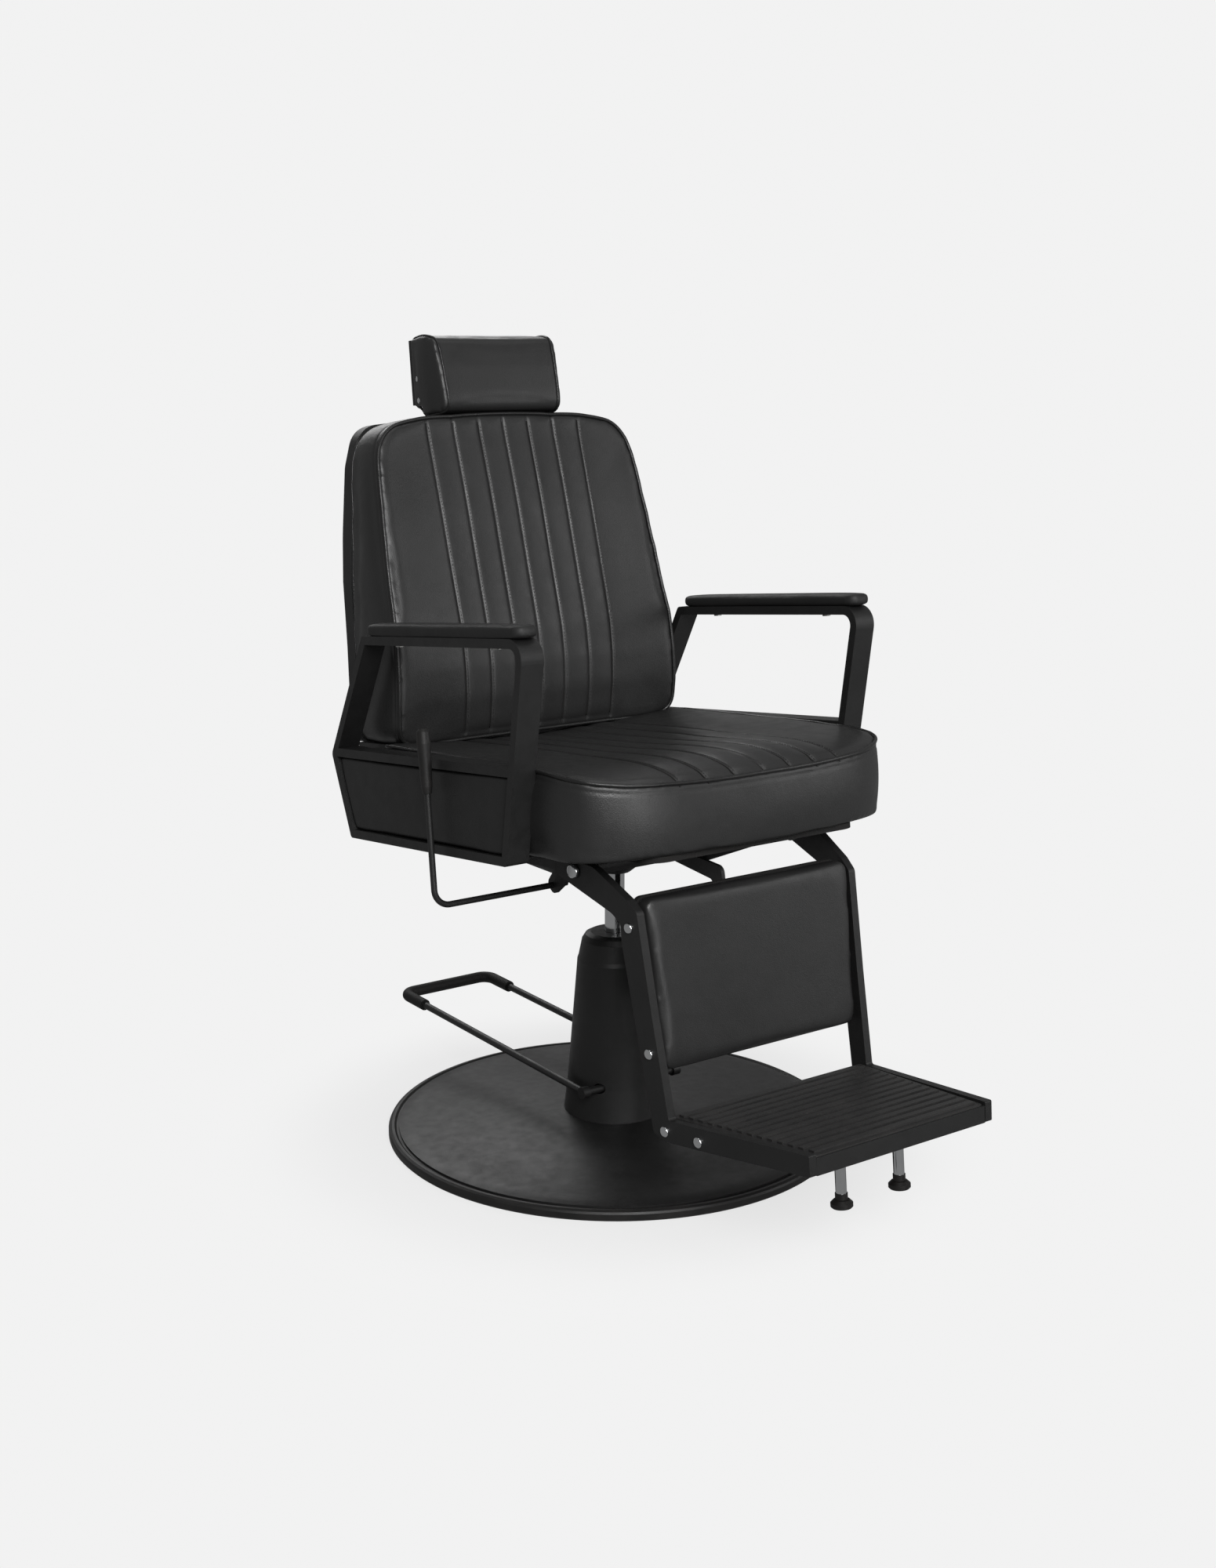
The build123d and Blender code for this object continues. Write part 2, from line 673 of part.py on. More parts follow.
def pad_back_y(z):
    """Rear face of the calf board at a height."""
    return -283 - 0.06 * (434 - z)


def legrest_centre_arm():
    """Cranked middle arm from the hinge tube to the back of the calf pad."""
    outer = [(-175, 470, 5), (-222, 461, 20), (pad_back_y(451), 451, 12), (pad_back_y(340), 340, 0)]
    inner = [(pad_back_y(340) + 22, 340, 4), (pad_back_y(428) + 22, 431, 8), (-175, 449, 5)]
    arm = side_plate(rounded(outer + inner), (-23, -17))
    return arm - rod(TUBE_R, (-30, -10), LEG_AXIS)


def calf_outline():
    """Front view of the calf pad and its board."""
    return rounded(mirrored([(172, 199, 14), (182, 434, 14)]))


def calf_band(front, rear, x):
    """Slab that follows the slope of the shin, between two offsets forward of its rear face."""
    corners = [(pad_back_y(434) - rear, 434), (pad_back_y(434) - front, 434)]
    corners += [(pad_back_y(199) - front, 199), (pad_back_y(199) - rear, 199)]
    return side_plate(Polygon(*corners, align=None), (-x, x))


def calf_board():
    """Board behind the calf pad."""
    return front_plate(calf_outline(), (-400, -200)) & calf_band(8, 0, 200)


def calf_pad():
    """Calf pad cushion."""
    return front_plate(calf_outline(), (-400, -200)) & calf_band(33, 8 + SOFT_GAP, 200)


def footrest_half_width(y):
    """Half width of the footrest between the brackets."""
    return 149.3 + BRACKET_SPLAY * (y - BRACKET_Y)


def footrest_plate():
    """Footrest tray between the brackets, with holes for its two posts."""
    front = BRACKET_Y
    rear = -330.0
    outline = mirrored([(footrest_half_width(front), front, 0), (footrest_half_width(rear), rear, 0)])
    plate = plan_plate(rounded(outline), (113, 136))
    for side in (-1, 1):
        plate -= upright(7.5, (110, 124), (side * POST_X, POST_Y))
    return plate


def footrest_mat():
    """Ribbed rubber mat on the footrest."""
    front = BRACKET_Y + 3
    rear = -333.0
    outline = mirrored([(footrest_half_width(front) - 1, front, 4), (footrest_half_width(rear) - 1, rear, 4)])
    mat = plan_plate(rounded(outline), (136, 138))
    pitch = (rear - front) / 14.5
    for index in range(14):
        y = front + pitch * (index + 0.75)
        width = footrest_half_width(y) - 8
        mat += box((-width, width), (y - 5, y + 5), (138, 141))
    return mat


def footrest_posts():
    """Two chromed posts under the footrest."""
    posts = [upright(7.5, (51, 124), (side * POST_X, POST_Y)) for side in (-1, 1)]
    return Compound([post.solid() for post in posts])


def footrest_feet():
    """Rubber feet on the posts."""
    outline = [(0, 31), (13, 31), (15, 33), (15, 38), (11, 42), (8.5, 43), (8.5, 51), (0, 51)]
    foot = Pos(POST_X, POST_Y, 0) * turned(outline)
    return Compound([foot.solid(), other_side(foot).solid()])


# ---- push link and release lever ---------------------------------------------------------


def push_link():
    """Link from the back's lug to the leg rest's lever, with a slotted front eye."""
    rear = turned_spot(BACK_AXIS, BACK_LEVER_R, BACK_LEVER_DEG)
    front = (LEG_AXIS[0] + LEG_LEVER[0], LEG_AXIS[1] + LEG_LEVER[1])
    length = math.hypot(rear[0] - front[0], rear[1] - front[1])
    turn = math.degrees(math.atan2(rear[1] - front[1], rear[0] - front[0]))
    bar = Pos(length / 2, 0) * Rectangle(length, 14)
    front_eye = SlotCenterToCenter(5, 22, rotation=90)
    rear_eye = Pos(length, 0) * Circle(11)
    slot = SlotCenterToCenter(5, 2 * LINK_PIN_R + 0.9, rotation=90)
    hole = Pos(length, 0) * Circle(LINK_PIN_R + RUNNING_GAP)
    flat = bar + front_eye + rear_eye - slot - hole
    face = Pos(front[0], front[1]) * Rot(Z=turn) * flat
    return side_plate(face, (LINK_X - LINK_THICK / 2, LINK_X + LINK_THICK / 2))


def release_lever():
    """Bent round lever: a cross shaft under the seat and an upright handle."""
    y = LEVER_AXIS[0]
    z = LEVER_AXIS[1]
    path = FilletPolyline((-104, y, z), (LEVER_X, y, z), (LEVER_X, y, 640), radius=24)
    return sweep(Plane(path @ 0, z_dir=path % 0) * Circle(LEVER_R), path=path)


def lever_grip():
    """Grip on the handle, thicker at the top."""
    outside = [(LEVER_R, 574), (6.5, 574), (8, 584), (10, 645), (9, 662), (6, 666), (0, 666)]
    grip = turned(outside + [(0, 640), (LEVER_R, 640)])
    return Pos(LEVER_X, LEVER_AXIS[0], 0) * grip


def level_pieces():
    """Every piece above the swivel, drawn level."""
    link_lug = turned_spot(BACK_AXIS, BACK_LEVER_R, BACK_LEVER_DEG)
    leg_lug = (LEG_AXIS[0] + LEG_LEVER[0], LEG_AXIS[1] + LEG_LEVER[1])
    return {
        "mount_plate": mount_plate(),
        "mount_bolts": mount_bolts(),
        "side_rail_left": side_rail(),
        "side_rail_right": other_side(side_rail()),
        "cross_members": cross_members(),
        "arm_crossbars": arm_crossbars(),
        "seat_board": seat_board(),
        "seat_cushion": seat_cushion(),
        "arm_frame_left": arm_frame(),
        "arm_frame_right": other_side(arm_frame()),
        "side_panel_left": side_panel(),
        "side_panel_right": other_side(side_panel()),
        "arm_pad_left": arm_pad(),
        "arm_pad_right": other_side(arm_pad()),
        "arm_pad_screws": arm_pad_screws(),
        "lever_bracket": lever_bracket(),
        "gas_cylinder": gas_cylinder(),
        "gas_rod": gas_rod(),
        "back_cushion": back_cushion(),
        "back_board": back_board(),
        "back_carrier": back_carrier(),
        "back_pivot_tube": back_pivot_tube(),
        "back_pivot_shaft": headed_shaft(BACK_AXIS, 198),
        "back_lug_pins": Compound([lug_pin(link_lug, 1).solid(), lug_pin(gas_lug_spot(), -1).solid()]),
        "headrest_bracket": headrest_bracket(),
        "headrest_board": headrest_board(),
        "headrest_cushion": headrest_cushion(),
        "headrest_studs": headrest_studs(),
        "legrest_bracket_left": legrest_bracket(),
        "legrest_bracket_right": other_side(legrest_bracket()),
        "bracket_screws": bracket_screws(),
        "legrest_pivot_tube": legrest_pivot_tube(),
        "legrest_pivot_shaft": headed_shaft(LEG_AXIS, 210.6),
        "legrest_link_pin": lug_pin(leg_lug, 1),
        "legrest_centre_arm": legrest_centre_arm(),
        "calf_board": calf_board(),
        "calf_pad": calf_pad(),
        "footrest_plate": footrest_plate(),
        "footrest_mat": footrest_mat(),
        "footrest_posts": footrest_posts(),
        "footrest_feet": footrest_feet(),
        "push_link": push_link(),
        "release_lever": release_lever(),
        "lever_grip": lever_grip(),
    }


def floor_pieces():
    """Every piece from the floor to the swivel."""
    return {
        "base_ring": base_ring(),
        "base_dish": base_dish(),
        "base_plate": base_plate(),
        "flange_bolts": flange_bolts(),
        "pump_cylinder": pump_cylinder(),
        "guide_bush": guide_bush(),
        "pedestal_cover": pedestal_cover(),
        "pedestal_cap": pedestal_cap(),
        "pedal_bearings": pedal_bearings(),
        "pedal_spring": pedal_spring(),
        "pedal_bar": pedal_bar(),
        "pedal_sleeve": pedal_sleeve(),
        "pedal_shaft": pedal_shaft(),
        "ram": ram(),
        "ram_piston": ram_piston(),
        "swivel_socket": swivel_socket(),
    }


os.makedirs("parts", exist_ok=True)
PIECES = floor_pieces()
for node, shape in level_pieces().items():
    PIECES[node] = lean(shape)
for node, shape in PIECES.items():
    export_step(shape, f"parts/{node}.step")
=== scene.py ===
import json
import math

import bpy
import numpy as np
from mathutils import Matrix, Vector
from mathutils.bvhtree import BVHTree


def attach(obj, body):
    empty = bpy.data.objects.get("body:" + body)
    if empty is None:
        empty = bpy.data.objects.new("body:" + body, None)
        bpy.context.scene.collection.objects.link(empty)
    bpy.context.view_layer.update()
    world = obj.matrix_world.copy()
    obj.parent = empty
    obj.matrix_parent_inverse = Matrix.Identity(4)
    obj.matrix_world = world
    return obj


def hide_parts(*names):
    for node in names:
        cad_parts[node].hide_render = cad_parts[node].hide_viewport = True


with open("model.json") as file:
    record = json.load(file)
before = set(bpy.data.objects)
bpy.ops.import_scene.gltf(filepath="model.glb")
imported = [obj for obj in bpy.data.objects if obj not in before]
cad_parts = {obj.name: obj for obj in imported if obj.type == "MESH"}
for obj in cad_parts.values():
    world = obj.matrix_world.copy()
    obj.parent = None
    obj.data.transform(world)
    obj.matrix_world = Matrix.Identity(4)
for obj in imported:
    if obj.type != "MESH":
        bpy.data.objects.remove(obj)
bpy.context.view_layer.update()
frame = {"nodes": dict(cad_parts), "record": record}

MM = 0.001
PER_METRE = 1000
PAPER = 0.887
CLOTH_FRAMES = 20
SWELL_ROUNDS = 60

# the chair above the swivel is drawn level, then leant back about this height
LEAN = math.radians(6)
PIVOT_Z = 0.456
LEVEL = (
    Matrix.Translation((0, 0, PIVOT_Z))
    @ Matrix.Rotation(-LEAN, 4, "X")
    @ Matrix.Translation((0, 0, -PIVOT_Z))
)

# sewn channels, in millimetres: distance of each seam from the middle
SEAT_SEAMS_FRONT = (0, 49, 96.5, 142)
SEAT_SEAMS_REAR = (0, 46, 92, 138)
BACK_SEAMS_LOW = (0, 45, 92, 138)
BACK_SEAMS_HIGH = (0, 46, 92.5, 141)
PILLOW_RISE = 2.4
FACE_SINK = 1.2
GROOVE = (2.2, 1.9)
CORD_TUCK = (1.3, 3.4)
CORD_TO_SIDE_SEAM = 11
SIDE_SEAM_WIDTH = 2.2
STITCH_OFFSET = 3.4
# radius of the near-black tubes that paint shade into the seam grooves
SEAM_SHADE_RADIUS = 1.0

# rings of the blank cushions, and the cord round them, in millimetres
FACE_RINGS = 24
SIDE_RINGS = 8
LOOP_PITCH = 9
CORD_PITCH = 5
CORD_LIFT = 2.4
CORD_RADIUS = 2.9


# ---- node helpers ------------------------------------------------------------------------


class Graph:
    """Small helper that adds and links shader nodes in one material."""

    def __init__(self, name):
        self.material = bpy.data.materials.new(name)
        self.material.use_nodes = True
        self.tree = self.material.node_tree
        self.shader = self.tree.nodes["Principled BSDF"]

    def add(self, kind, inputs=None, **settings):
        node = self.tree.nodes.new(kind)
        for key, value in settings.items():
            setattr(node, key, value)
        for key, value in (inputs or {}).items():
            if isinstance(value, bpy.types.NodeSocket):
                self.tree.links.new(value, node.inputs[key])
            else:
                node.inputs[key].default_value = value
        return node

    def link(self, source, key):
        self.tree.links.new(source, self.shader.inputs[key])

    def value(self, key, value):
        self.shader.inputs[key].default_value = value

    def place(self):
        return self.add("ShaderNodeTexCoord").outputs["Object"]

    def noise(self, scale, detail=3.0, rough=0.55):
        return self.add(
            "ShaderNodeTexNoise",
            {"Vector": self.place(), "Scale": scale, "Detail": detail, "Roughness": rough},
        )

    def remap(self, source, low, high, start=0.3, end=0.7):
        node = self.add(
            "ShaderNodeMapRange",
            {"Value": source, "From Min": start, "From Max": end, "To Min": low, "To Max": high},
        )
        return node.outputs["Result"]

    def tint(self, source, dark, light):
        ramp = self.add("ShaderNodeValToRGB", {"Fac": source})
        ramp.color_ramp.elements[0].position = 0.32
        ramp.color_ramp.elements[1].position = 0.7
        ramp.color_ramp.elements[0].color = (*dark, 1)
        ramp.color_ramp.elements[1].color = (*light, 1)
        return ramp.outputs["Color"]

    def bump(self, height, distance, strength=1.0, under=None):
        inputs = {"Height": height, "Distance": distance, "Strength": strength}
        if under is not None:
            inputs["Normal"] = under
        return self.add("ShaderNodeBump", inputs).outputs["Normal"]


def grey(value, warmth=0.0):
    return (value + warmth, value, value - warmth * 0.5)


def leather(name, shade, rough, cell=1.25, wrinkle=1.0):
    """Fine grained artificial leather: pebbled cells, soft creases, worn sheen."""
    g = Graph(name)
    patches = g.noise(7.0, 4.0)
    g.link(g.tint(patches.outputs["Fac"], grey(shade * 0.88), grey(shade * 1.15)), "Base Color")
    sheen = g.noise(38.0, 5.0)
    g.link(g.remap(sheen.outputs["Fac"], rough - 0.05, rough + 0.06), "Roughness")
    warp = g.noise(260.0, 2.0)
    place = g.place()
    drift = g.add(
        "ShaderNodeVectorMath", {0: warp.outputs["Color"], "Scale": 0.0016}, operation="SCALE"
    )
    mixed = g.add("ShaderNodeVectorMath", {0: place, 1: drift.outputs[0]}, operation="ADD")
    cells = g.add(
        "ShaderNodeTexVoronoi",
        {"Vector": mixed.outputs[0], "Scale": 1000.0 / cell, "Randomness": 1.0},
        feature="SMOOTH_F1",
    )
    grain = g.bump(cells.outputs["Distance"], 0.00032, 0.5)
    grain.node.invert = True
    creases = g.noise(95.0, 6.0, 0.62)
    g.link(g.bump(creases.outputs["Fac"], 0.0009 * wrinkle, 0.22, grain), "Normal")
    g.value("Specular IOR Level", 0.42)
    g.value("Coat Weight", 0.06)
    g.value("Coat Roughness", 0.35)
    return g.material


def powder(name, shade, rough, scale=1500.0, depth=0.00022):
    """Powder coated steel: fine orange peel with slightly rubbed patches."""
    g = Graph(name)
    patches = g.noise(11.0, 5.0)
    g.link(g.tint(patches.outputs["Fac"], grey(shade * 0.88), grey(shade * 1.18)), "Base Color")
    rub = g.noise(60.0, 6.0)
    g.link(g.remap(rub.outputs["Fac"], rough - 0.05, rough + 0.07), "Roughness")
    peel = g.noise(scale, 2.0)
    g.link(g.bump(peel.outputs["Fac"], depth, 0.55), "Normal")
    g.value("Specular IOR Level", 0.45)
    return g.material


def rubber(name, shade, rough):
    """Moulded rubber: matt with a faint stipple and dusty patches."""
    g = Graph(name)
    dust = g.noise(24.0, 7.0, 0.65)
    g.link(g.tint(dust.outputs["Fac"], grey(shade * 0.85), grey(shade * 1.3, 0.001)), "Base Color")
    g.link(g.remap(dust.outputs["Fac"], rough - 0.06, rough + 0.08), "Roughness")
    stipple = g.noise(2200.0, 2.0)
    g.link(g.bump(stipple.outputs["Fac"], 0.0002, 0.4), "Normal")
    g.value("Specular IOR Level", 0.35)
    return g.material


def plated(name, colour, rough, brushed=0.0):
    """Plated or bare metal with hairline polish marks and faint smudges."""
    g = Graph(name)
    g.value("Metallic", 1.0)
    smudge = g.noise(45.0, 6.0)
    dark = tuple(c * 0.93 for c in colour)
    g.link(g.tint(smudge.outputs["Fac"], dark, colour), "Base Color")
    g.link(g.remap(smudge.outputs["Fac"], rough, rough + 0.07), "Roughness")
    stretch = g.add("ShaderNodeMapping", {"Vector": g.place(), "Scale": (1, 1, 60)})
    lines = g.add(
        "ShaderNodeTexNoise",
        {"Vector": stretch.outputs["Vector"], "Scale": 60.0, "Detail": 4.0},
    )
    g.link(g.bump(lines.outputs["Fac"], 0.0001 + 0.0004 * brushed, 0.25 + 0.4 * brushed), "Normal")
    return g.material


LEATHER = leather("black_leather", 0.0175, 0.385)
BACK_LEATHER = leather("back_leather", 0.010, 0.5, wrinkle=0.7)
PIPING = leather("piping_leather", 0.011, 0.3, cell=0.9, wrinkle=0.4)
PAD_SKIN = leather("arm_pad_skin", 0.009, 0.6, cell=0.8, wrinkle=0.5)
THREAD = rubber("black_thread", 0.014, 0.6)
# painted shade: near-black material for the tubes laid in the seam grooves, darker than the
# leather
SEAM_SHADE = rubber("seam_tuck", 0.004, 0.75)
LINING = rubber("lining_cloth", 0.008, 0.85)

FINISHES = {
    "floor_ring": rubber("floor_ring", 0.010, 0.42),
    "satin_black": powder("satin_black", 0.011, 0.42),
    "frame_black": powder("frame_black", 0.009, 0.46, 1300.0, 0.0003),
    "hidden_steel": powder("hidden_steel", 0.014, 0.5),
    "cast_weight": powder("cast_weight", 0.03, 0.65, 400.0, 0.0012),
    "zinc_steel": plated("zinc_steel", (0.55, 0.55, 0.53), 0.3, 0.6),
    "chrome": plated("chrome", (0.78, 0.79, 0.8), 0.07),
    "bronze": plated("bronze", (0.58, 0.4, 0.2), 0.28, 0.3),
    "sleeve_rubber": rubber("sleeve_rubber", 0.006, 0.6),
    "board": LINING,
    "black_leather": LEATHER,
    "back_leather": BACK_LEATHER,
    "grip_plastic": rubber("grip_plastic", 0.010, 0.45),
    "mat_rubber": rubber("mat_rubber", 0.022, 0.46),
    "foot_rubber": rubber("foot_rubber", 0.007, 0.4),
}


def finish_cad():
    """Give every CAD node its finish, and the nodes listed below a fine rounded edge."""
    round_edges = {
        "arm_frame_left": 1.6,
        "arm_frame_right": 1.6,
        "legrest_bracket_left": 1.5,
        "legrest_bracket_right": 1.5,
        "footrest_plate": 1.2,
        "headrest_bracket": 0.8,
        "back_carrier": 0.8,
        "lever_bracket": 0.8,
        "arm_crossbars": 0.8,
        "push_link": 0.6,
        "legrest_centre_arm": 0.8,
        "seat_board": 1.0,
        "footrest_mat": 0.5,
    }
    for part in frame["record"]["subparts"]:
        node = frame["nodes"][part["node"]]
        material = FINISHES[part["material_slot"]]
        if not node.material_slots:
            node.data.materials.append(material)
        for holder in node.material_slots:
            holder.material = material
        width = round_edges.get(part["node"])
        if width:
            bevel = node.modifiers.new("edge", "BEVEL")
            bevel.width = width * MM
            bevel.segments = 2
            bevel.limit_method = "ANGLE"
            bevel.angle_limit = math.radians(50)
            bevel.harden_normals = False


# ---- mesh helpers ------------------------------------------------------------------------


def new_object(name, points, faces, material):
    """Mesh object from points in millimetres."""
    mesh = bpy.data.meshes.new(name)
    mesh.from_pydata([(p[0] * MM, p[1] * MM, p[2] * MM) for p in points], [], faces)
    mesh.validate()
    mesh.materials.append(material)
    obj = bpy.data.objects.new(name, mesh)
    bpy.context.scene.collection.objects.link(obj)
    return obj


def coords(mesh):
    flat = np.empty(len(mesh.vertices) * 3, dtype=np.float32)
    mesh.vertices.foreach_get("co", flat)
    return flat.reshape(-1, 3).astype(np.float64)


def set_coords(mesh, points):
    mesh.vertices.foreach_set("co", np.asarray(points, dtype=np.float32).ravel())
    mesh.update()


def normals(mesh):
    flat = np.empty(len(mesh.vertices) * 3, dtype=np.float32)
    mesh.vertex_normals.foreach_get("vector", flat)
    return flat.reshape(-1, 3).astype(np.float64)


def bake(obj):
    """Apply every modifier of an object to its mesh."""
    bpy.context.view_layer.update()
    depsgraph = bpy.context.evaluated_depsgraph_get()
    mesh = bpy.data.meshes.new_from_object(obj.evaluated_get(depsgraph))
    old = obj.data
    obj.modifiers.clear()
    obj.data = mesh
    if not mesh.materials:
        for material in old.materials:
            mesh.materials.append(material)
    bpy.data.meshes.remove(old)


def remesh(obj, voxel):
    modifier = obj.modifiers.new("remesh", "REMESH")
    modifier.mode = "VOXEL"
    modifier.voxel_size = voxel * MM
    modifier.use_smooth_shade = True
    bake(obj)


def averaged(mesh, values, rounds):
    """Average rows of values over the mesh's neighbouring points."""
    pairs = np.empty(len(mesh.edges) * 2, dtype=np.int32)
    mesh.edges.foreach_get("vertices", pairs)
    pairs = pairs.reshape(-1, 2)
    count = np.bincount(pairs.ravel(), minlength=len(values))[:, None]
    for _ in range(rounds):
        total = np.zeros_like(values)
        for column in range(values.shape[1]):
            total[:, column] += np.bincount(pairs[:, 0], values[pairs[:, 1], column], len(values))
            total[:, column] += np.bincount(pairs[:, 1], values[pairs[:, 0], column], len(values))
        values = values * 0.4 + 0.6 * total / count
    return values


def relax(obj, rounds):
    """Round off the edges of a mesh."""
    set_coords(obj.data, averaged(obj.data, coords(obj.data), rounds))


def inflate(obj, pressure, cap):
    """Swell a closed mesh by cloth simulation.

    The swell is kept along the surface's normals, evened out between neighbours, measured from
    where the cover is held back at its edges, and capped.
    """
    scene = bpy.context.scene
    start = coords(obj.data)
    out = normals(obj.data)
    cloth = obj.modifiers.new("cloth", "CLOTH")
    cloth.settings.quality = 5
    cloth.settings.mass = 0.3
    cloth.settings.tension_stiffness = 15
    cloth.settings.compression_stiffness = 15
    cloth.settings.shear_stiffness = 5
    cloth.settings.bending_stiffness = 0.5
    cloth.settings.use_pressure = True
    cloth.settings.uniform_pressure_force = pressure
    cloth.settings.effector_weights.gravity = 0
    cloth.point_cache.frame_start = 1
    cloth.point_cache.frame_end = CLOTH_FRAMES
    for step in range(1, CLOTH_FRAMES + 1):
        scene.frame_set(step)
    depsgraph = bpy.context.evaluated_depsgraph_get()
    end = coords(obj.evaluated_get(depsgraph).data)
    obj.modifiers.clear()
    scene.frame_set(1)
    swell = ((end - start) * out).sum(axis=1, keepdims=True)
    swell = averaged(obj.data, swell, SWELL_ROUNDS)
    swell = np.maximum(swell - np.percentile(swell, 15), 0)
    limit = cap * MM
    set_coords(obj.data, start + out * limit * np.tanh(swell / limit))


def subdivide(obj):
    modifier = obj.modifiers.new("smooth", "SUBSURF")
    modifier.levels = 1
    modifier.render_levels = 1
    bake(obj)


def shade_smooth(obj):
    obj.data.polygons.foreach_set("use_smooth", [True] * len(obj.data.polygons))
    obj.data.update()


def stuffed(obj, voxel, soften, cap, pressure=4.0):
    """Turn a closed blank into an upholstered form."""
    remesh(obj, voxel)
    relax(obj, soften)
    inflate(obj, pressure, cap)
    subdivide(obj)
    shade_smooth(obj)
    return obj


def smooth_line(points, steps=6, closed=False):
    """Points along a Catmull-Rom curve through the given points."""
    points = [Vector(p) for p in points]
    count = len(points)
    line = []
    spans = count if closed else count - 1
    for index in range(spans):
        if closed:
            a, b, c, d = (points[(index + k) % count] for k in (-1, 0, 1, 2))
        else:
            b, c = points[index], points[index + 1]
            a = points[index - 1] if index else b * 2 - c
            d = points[index + 2] if index + 2 < count else c * 2 - b
        for step in range(steps):
            t = step / steps
            square = (2 * a - 5 * b + 4 * c - d) * t**2
            cube = (3 * b - a - 3 * c + d) * t**3
            line.append(0.5 * (2 * b + (c - a) * t + square + cube))
    if not closed:
        line.append(points[-1])
    return line


def even(line, pitch, closed=False):
    """Resample a line at an even pitch."""
    line = list(line) + ([line[0]] if closed else [])
    reach = [0.0]
    for a, b in zip(line, line[1:]):
        reach.append(reach[-1] + (b - a).length)
    count = max(4, round(reach[-1] / pitch))
    spots = []
    index = 0
    for step in range(count + (0 if closed else 1)):
        target = reach[-1] * step / count
        while index < len(reach) - 2 and reach[index + 1] < target:
            index += 1
        span = reach[index + 1] - reach[index]
        t = (target - reach[index]) / span if span > 1e-12 else 0.0
        spots.append(line[index].lerp(line[index + 1], t))
    return spots


def surface_of(obj):
    """Lookup tree of an object's mesh."""
    mesh = obj.data
    return BVHTree.FromPolygons([v.co for v in mesh.vertices], [p.vertices for p in mesh.polygons])


def settle(line, tree, lift):
    """Lay a line on a surface, lifted off it along its normal; lengths in millimetres."""
    spots = []
    for point in line:
        spot, normal, _, _ = tree.find_nearest(point * MM)
        spots.append(spot / MM + normal * lift)
    return spots


def average_line(line, rounds, closed):
    for _ in range(rounds):
        fresh = []
        for index, here in enumerate(line):
            if not closed and index in (0, len(line) - 1):
                fresh.append(here)
                continue
            before = line[index - 1]
            after = line[(index + 1) % len(line)]
            fresh.append(before * 0.25 + here * 0.5 + after * 0.25)
        line = fresh
    return line


def tube(name, line, radius, material, closed=False, sides=10):
    """Round cord along a line of points in millimetres."""
    count = len(line)
    points = []
    faces = []
    side = None
    for index, here in enumerate(line):
        before = line[index - 1] if (closed or index) else here
        after = line[(index + 1) % count] if (closed or index + 1 < count) else here
        along = (after - before).normalized()
        if side is None:
            side = along.orthogonal().normalized()
        side = (side - along * side.dot(along)).normalized()
        other = along.cross(side)
        for k in range(sides):
            angle = 2 * math.pi * k / sides
            points.append(here + (side * math.cos(angle) + other * math.sin(angle)) * radius)
    spans = count if closed else count - 1
    for index in range(spans):
        low = index * sides
        high = ((index + 1) % count) * sides
        for k in range(sides):
            m = (k + 1) % sides
            faces.append((low + k, low + m, high + m, high + k))
    if not closed:
        faces.append(tuple(range(sides))[::-1])
        faces.append(tuple(range((count - 1) * sides, count * sides)))
    obj = new_object(name, points, faces, material)
    shade_smooth(obj)
    return obj


def stitches(name, lines, material, pitch=5.2, length=3.3, radius=0.42):
    """Rows of thread stitches; each line is a list of (spot, normal) in millimetres."""
    points = []
    faces = []
    # along the stitch, thickness and rise of each ring of points
    rings = (
        (-0.5, 0.35, -0.25),
        (-0.36, 0.9, 0.1),
        (0.0, 1.0, 0.28),
        (0.36, 0.9, 0.1),
        (0.5, 0.35, -0.25),
    )
    for line in lines:
        run = 0.0
        for (a, normal), (b, _) in zip(line, line[1:]):
            span = b - a
            run += span.length
            if run < pitch:
                continue
            run -= pitch
            along = span.normalized()
            side = normal.cross(along).normalized()
            base = len(points)
            for where, size, rise in rings:
                centre = a + along * (where * length) + normal * (rise * 1.4)
                for k in range(6):
                    angle = math.pi / 3 * k
                    rim = side * math.cos(angle) + normal * math.sin(angle)
                    points.append(centre + rim * radius * size)
            for ring in range(len(rings) - 1):
                low = base + ring * 6
                for k in range(6):
                    m = (k + 1) % 6
                    faces.append((low + k, low + m, low + 6 + m, low + 6 + k))
            faces.append(tuple(base + k for k in range(6))[::-1])
            last = base + (len(rings) - 1) * 6
            faces.append(tuple(last + k for k in range(6)))
    obj = new_object(name, points, faces, material)
    shade_smooth(obj)
    return obj


def ringed(rings, start, end):
    """Closed mesh from rings of equal length and a point at each end."""
    count = len(rings[0])
    points = [start] + [p for ring in rings for p in ring] + [end]
    faces = []
    for k in range(count):
        m = (k + 1) % count
        faces.append((0, 1 + m, 1 + k))
        for row in range(len(rings) - 1):
            low = 1 + row * count
            faces.append((low + k, low + m, low + count + m, low + count + k))
        last = 1 + (len(rings) - 1) * count
        faces.append((last + k, last + m, len(points) - 1))
    return points, faces


def full_loop(half):
    """Close a half loop, from the middle of one end to the middle of the other, by mirroring."""
    return half + [(-x, y, z) for x, y, z in reversed(half[1:-1])]


def mount(obj, body, replaced=()):
    """Lean a finished piece into the chair's frame and fix it to its body."""
    obj.data.transform(LEVEL)
    obj.data.update()
    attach(obj, body)
    if replaced:
        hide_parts(*replaced)
    return obj


def interpolate(x, table):
    """Value at x in a table of (x, value) rows."""
    xs = [row[0] for row in table]
    ys = [row[1] for row in table]
    return float(np.interp(x, xs, ys))


